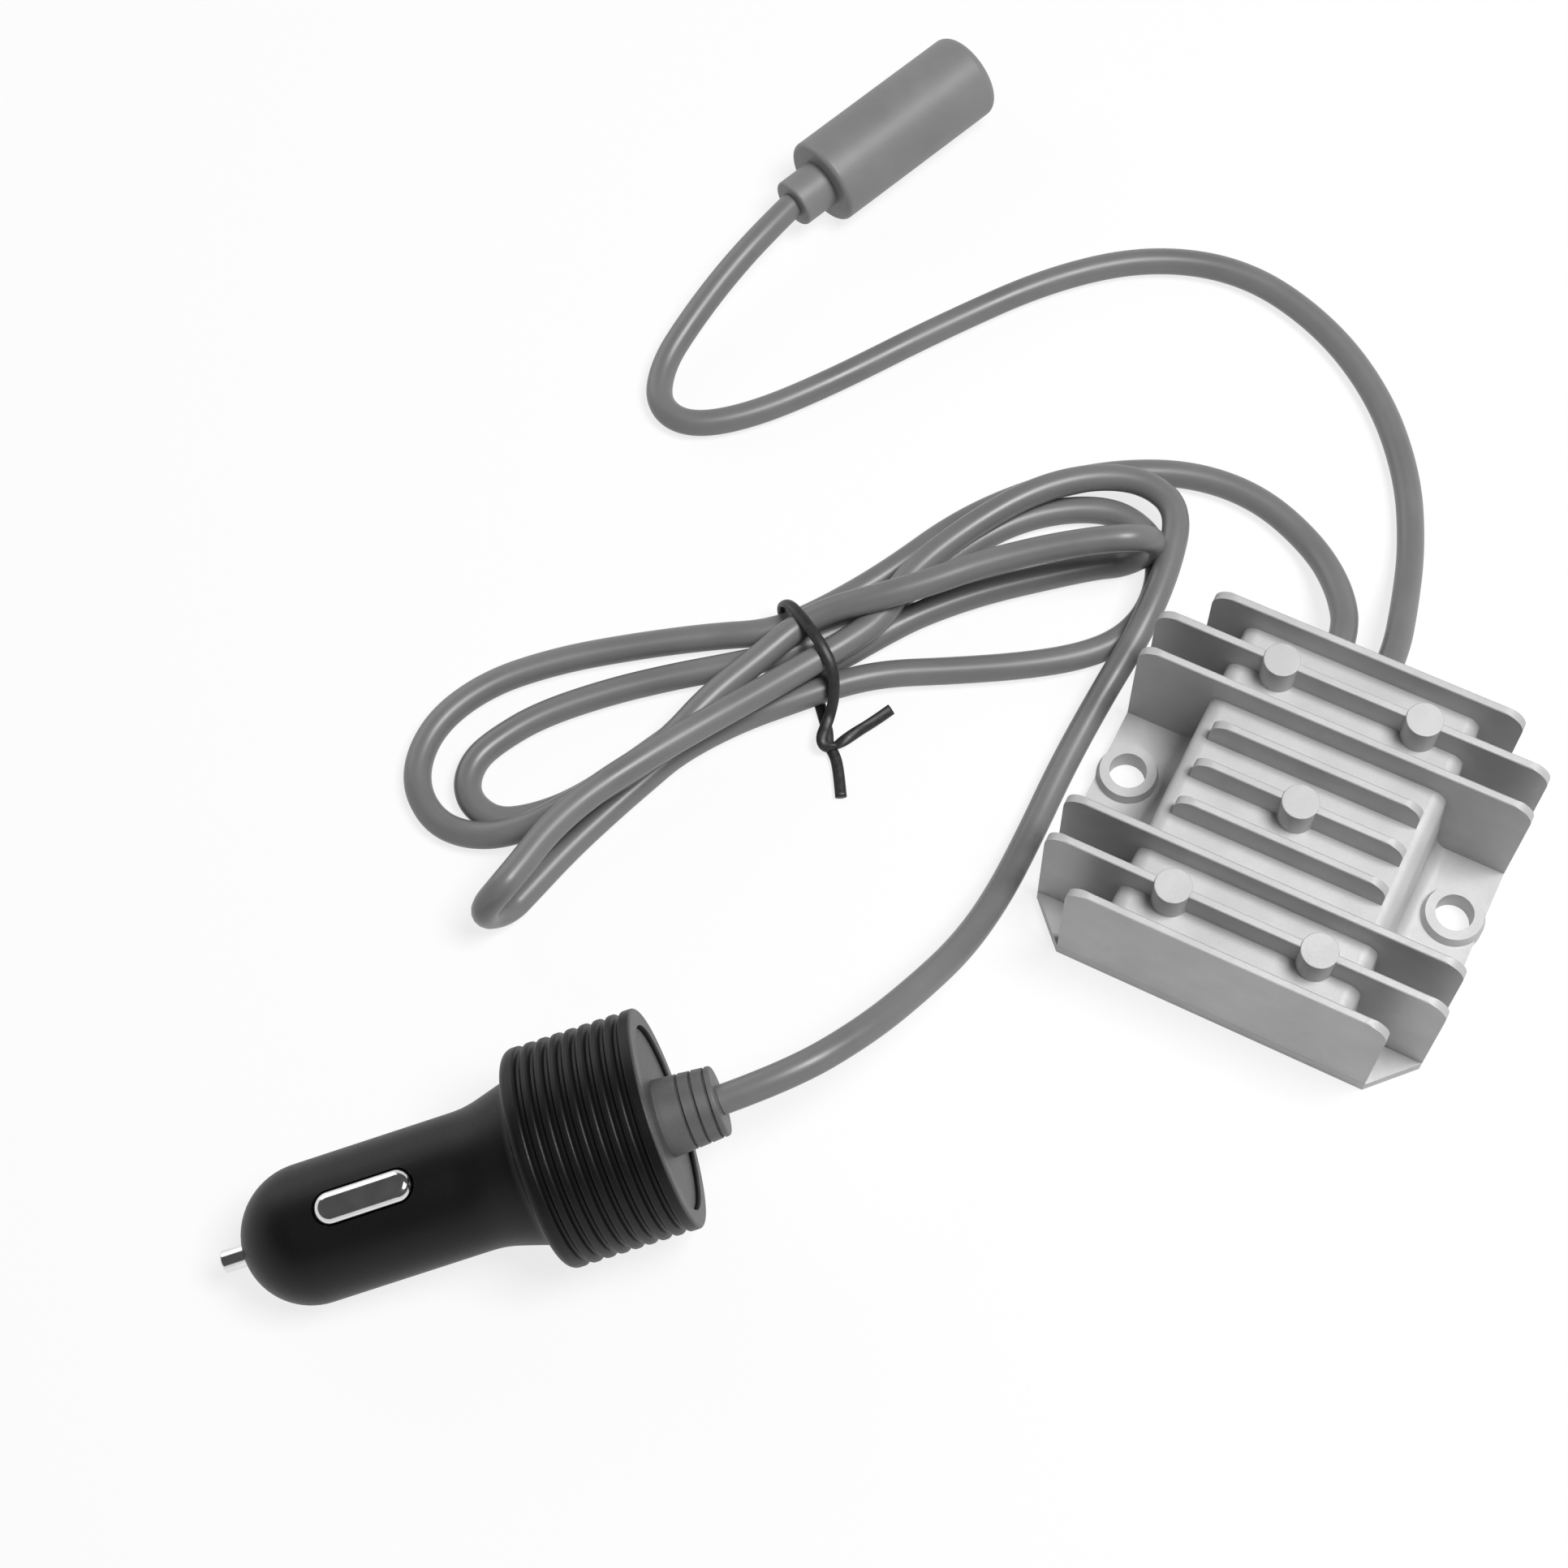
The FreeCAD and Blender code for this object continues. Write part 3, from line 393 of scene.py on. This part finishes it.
def spring_steel():
    """Drawn spring wire, satin."""
    finish = Finish("spring_steel").set(metallic=1.0)
    marks = finish.noise(0.2, 3)
    return (finish.colour(marks, grey(0.45), grey(0.60)).rough(marks, 0.25, 0.38)
            .bump(marks, 0.004, 0.4).material)


def terminal_brass():
    """Stamped brass, slightly dulled."""
    finish = Finish("terminal_brass").set(metallic=1.0)
    cloud = finish.noise(1.5, 4)
    return (finish.colour(cloud, (0.50, 0.37, 0.16), (0.66, 0.52, 0.26)).rough(cloud, 0.28, 0.45)
            .bump(cloud, 0.006, 0.4).material)


def winding_copper():
    """Enamelled copper wire."""
    finish = Finish("winding_copper").set(metallic=0.8, coat_weight=0.5)
    cloud = finish.noise(1.2, 4)
    return (finish.colour(cloud, (0.38, 0.14, 0.05), (0.58, 0.26, 0.10)).rough(cloud, 0.25, 0.38)
            .bump(cloud, 0.01, 0.4).material)


def ferrite():
    """Sintered dark ferrite, powdery."""
    finish = Finish("ferrite")
    grain = finish.noise(0.3, 6)
    return (finish.colour(grain, grey(0.05), grey(0.09)).rough(grain, 0.60, 0.80)
            .bump(grain, 0.03, 0.6).material)


def board_laminate():
    """Green glass laminate with the weave just showing."""
    finish = Finish("board_laminate")
    weave = finish.tree.nodes.new("ShaderNodeTexChecker")
    weave.inputs["Scale"].default_value = 1 / (1.2 * mm)
    finish.link(finish.coords, weave.inputs["Vector"])
    cloud = finish.noise(2, 3)
    return (finish.colour(cloud, (0.02, 0.10, 0.045), (0.035, 0.15, 0.065)).rough(cloud, 0.30, 0.42)
            .bump(weave.outputs["Fac"], 0.01, 0.4).material)


def can_sleeve():
    """Shrunk plastic sleeve on a capacitor."""
    finish = Finish("can_sleeve")
    cloud = finish.noise(3, 3)
    return (finish.colour(cloud, (0.03, 0.035, 0.07), (0.045, 0.05, 0.10)).rough(cloud, 0.28, 0.40)
            .bump(cloud, 0.03, 0.4).material)


def chip_resin():
    """Moulded black epoxy of a chip."""
    finish = Finish("chip_resin")
    grain = finish.noise(0.12, 4)
    return (finish.colour(grain, grey(0.018), grey(0.030)).rough(grain, 0.55, 0.70)
            .bump(grain, 0.015, 0.6).material)


def potting_resin():
    """Poured black resin: glossy, gently uneven, with a few specks."""
    finish = Finish("potting_resin").set(coat_weight=0.15)
    swell = finish.noise(12, 2)
    specks = finish.noise(0.5, 5)
    return (finish.colour(specks, grey(0.016), grey(0.030)).rough(specks, 0.22, 0.36)
            .bump(swell, 0.5, 0.25).bump(specks, 0.02, 0.4).material)


def fuse_glass():
    """Glass tube of the fuse, a little clouded."""
    finish = Finish("fuse_glass").set(transmission_weight=0.55, ior=1.5)
    cloud = finish.noise(2, 3)
    return (finish.colour(cloud, (0.80, 0.81, 0.81), (0.88, 0.89, 0.89)).rough(cloud, 0.06, 0.14)
            .bump(cloud, 0.01, 0.2).material)


def core_insulation():
    """Thin red insulation of a wire."""
    finish = Finish("core_insulation")
    cloud = finish.noise(2, 3)
    return (finish.colour(cloud, (0.22, 0.02, 0.02), (0.32, 0.04, 0.04)).rough(cloud, 0.30, 0.42)
            .bump(cloud, 0.01, 0.4).material)


def socket_insulation():
    """Hard black insulator."""
    finish = Finish("socket_insulation")
    skin = finish.noise(0.4, 3)
    return (finish.colour(skin, grey(0.02), grey(0.03)).rough(skin, 0.28, 0.40)
            .bump(skin, 0.01, 0.4).material)


finish_of = {
    "cast_housing": cast_alloy(), "grommet": grommet_rubber(), "tie": tie_coating(),
    "lead_jacket": cord_jacket(), "board": board_laminate(), "ferrite": ferrite(),
    "copper_wire": winding_copper(), "capacitor_can": can_sleeve(), "chip_case": chip_resin(),
    "resin": potting_resin(), "plug_plastic": plug_moulding(), "cap_plastic": cap_moulding(),
    "plated_metal": bright_plating(), "fuse_glass": fuse_glass(), "spring_steel": spring_steel(),
    "terminal_brass": terminal_brass(), "core_insulation": core_insulation(),
    "socket_rubber": connector_moulding(), "socket_insulation": socket_insulation(),
}


def dress(piece, slot):
    """A piece's own material, from the slot that it takes its finish from."""
    piece.data.materials.clear()
    piece.data.materials.append(finish_of[slot])


for subpart in frame["record"]["subparts"]:
    dress(nodes[subpart["node"]], subpart["material_slot"])
strain_relief = nodes["plug_strain_relief"].data.materials
strain_relief.clear()
strain_relief.append(relief_moulding())

# Camera, lights and floor
camera = bpy.data.objects.new("camera", bpy.data.cameras.new("camera"))
camera.location = camera_place
camera.rotation_euler = [math.radians(angle) for angle in camera_turn]
camera.data.lens = camera_lens
camera.data.sensor_width = sensor_width
camera.data.clip_start = camera_nearest
bpy.context.collection.objects.link(camera)
bpy.context.scene.camera = camera
bpy.context.scene.view_settings.view_transform = "Standard"


def area_light(name, place, size, power):
    """Square lamp that faces the middle of the object."""
    lamp = bpy.data.lights.new(name, "AREA")
    lamp.shape = "SQUARE"
    lamp.size = size
    lamp.energy = power
    light = bpy.data.objects.new(name, lamp)
    light.location = place
    aim = np.array(light_aim) - np.array(place)
    lean = math.atan2(math.hypot(aim[0], aim[1]), -aim[2])
    heading = math.atan2(aim[0], -aim[1]) + math.pi
    light.rotation_euler = (lean, 0, heading)
    light.visible_camera = False
    bpy.context.collection.objects.link(light)


area_light("key_light", key_place, key_size, key_power)
area_light("side_panel", side_place, side_size, side_power)

world = bpy.data.worlds.new("studio")
bpy.context.scene.world = world
world.use_nodes = True


def seen_directly(tree):
    """1 where a ray comes from the camera, a mirror or glass, and 0 where it only lights."""
    path = tree.nodes.new("ShaderNodeLightPath")
    shiny = tree.nodes.new("ShaderNodeMath")
    shiny.operation = "MAXIMUM"
    tree.links.new(path.outputs["Is Glossy Ray"], shiny.inputs[0])
    tree.links.new(path.outputs["Is Transmission Ray"], shiny.inputs[1])
    seen = tree.nodes.new("ShaderNodeMath")
    seen.operation = "MAXIMUM"
    tree.links.new(path.outputs["Is Camera Ray"], seen.inputs[0])
    tree.links.new(shiny.outputs[0], seen.inputs[1])
    return seen.outputs[0]


sky = world.node_tree.nodes["Background"]
sky.inputs["Color"].default_value = (1, 1, 1, 1)
sky.inputs["Strength"].default_value = sky_level

floor_mesh = bpy.data.meshes.new("floor")
floor_corners = [(x * floor_reach, y * floor_reach, 0) for x, y in ((-1, -1), (1, -1), (1, 1), (-1, 1))]
floor_mesh.from_pydata(floor_corners, [], [(0, 1, 2, 3)])
floor = bpy.data.objects.new("floor", floor_mesh)
bpy.context.collection.objects.link(floor)
paper = bpy.data.materials.new("white_paper")
paper.use_nodes = True
paper_tree = paper.node_tree
paper_shader = paper_tree.nodes["Principled BSDF"]
paper_shader.inputs["Base Color"].default_value = paper_white
paper_shader.inputs["Roughness"].default_value = paper_roughness
paper_shader.inputs["Specular IOR Level"].default_value = 0.0
glow = paper_tree.nodes.new("ShaderNodeEmission")
glow.inputs["Strength"].default_value = 1.0
share = paper_tree.nodes.new("ShaderNodeMath")
share.operation = "MULTIPLY"
share.inputs[1].default_value = paper_glow
paper_tree.links.new(seen_directly(paper_tree), share.inputs[0])
blend = paper_tree.nodes.new("ShaderNodeMixShader")
paper_tree.links.new(share.outputs[0], blend.inputs["Fac"])
paper_tree.links.new(paper_shader.outputs["BSDF"], blend.inputs[1])
paper_tree.links.new(glow.outputs["Emission"], blend.inputs[2])
paper_tree.links.new(blend.outputs["Shader"], paper_tree.nodes["Material Output"].inputs["Surface"])
floor_mesh.materials.append(paper)


def round_backdrop():
    """Wall round the floor: two rings of points on a circle, one on the floor and one at the wall's top."""
    angle = np.linspace(0, 2 * math.pi, backdrop_sides, endpoint=False)
    ring = np.stack((np.cos(angle), np.sin(angle), np.zeros_like(angle)), axis=1) * backdrop_reach
    return grid_surface("backdrop", np.stack((ring, ring + (0, 0, backdrop_height))), cap_ends=False)


backdrop = round_backdrop()
backdrop.data.materials.append(paper)


def round_cord(name, points):
    """Cord of the jacket's diameter along one spline of these points."""
    piece = spline_curve(name, points)
    piece.data.bevel_depth = cord_diameter / 2 * mm
    piece.data.bevel_resolution = cord_roundness
    piece.data.use_fill_caps = True
    piece.data.materials.append(finish_of["lead_jacket"])
    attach(piece, "converter")
    return piece


input_points = np.vstack((input_start, place_hank(hank_turns), input_end))
input_cord = round_cord("input_cord", input_points)
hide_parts("input_lead", "lead_hank", "plug_lead")
output_cord = round_cord("output_cord", output_route)
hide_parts("output_lead")


def twist_tie():
    """Oval section swept along the tie's line: each row is the line's point plus the half width along one
    normal and the half thickness along the other."""
    line = spline_line(place_hank(tie_path))
    way = directions(line)
    turn = math.radians(hank_heading)
    lean = np.array((math.cos(turn), math.sin(turn), 0.0))
    side = lean - np.sum(way * lean, axis=1, keepdims=True) * way
    side /= np.linalg.norm(side, axis=1, keepdims=True)
    other = np.cross(way, side)
    angle = np.linspace(0, 2 * math.pi, tie_sides, endpoint=False)
    oval = np.stack((np.cos(angle) * tie_width / 2, np.sin(angle) * tie_thickness / 2), axis=1) * mm
    grid = line[:, None] + oval[None, :, :1] * side[:, None] + oval[None, :, 1:] * other[:, None]
    return grid_surface("twist_tie_wire", grid)


tie = twist_tie()
dress(tie, "tie")
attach(tie, "converter")
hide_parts("twist_tie")


def flatten_spring(name, way):
    """Gives the spring its own copy of its mesh; the spring is not flattened, and the way it is given is
    not used."""
    way = np.array(way)
    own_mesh(nodes[name])


flatten_spring("tip_spring", collar_face_way)
flatten_spring("side_spring_upper", plug_upward)
flatten_spring("side_spring_lower", [-value for value in plug_upward])
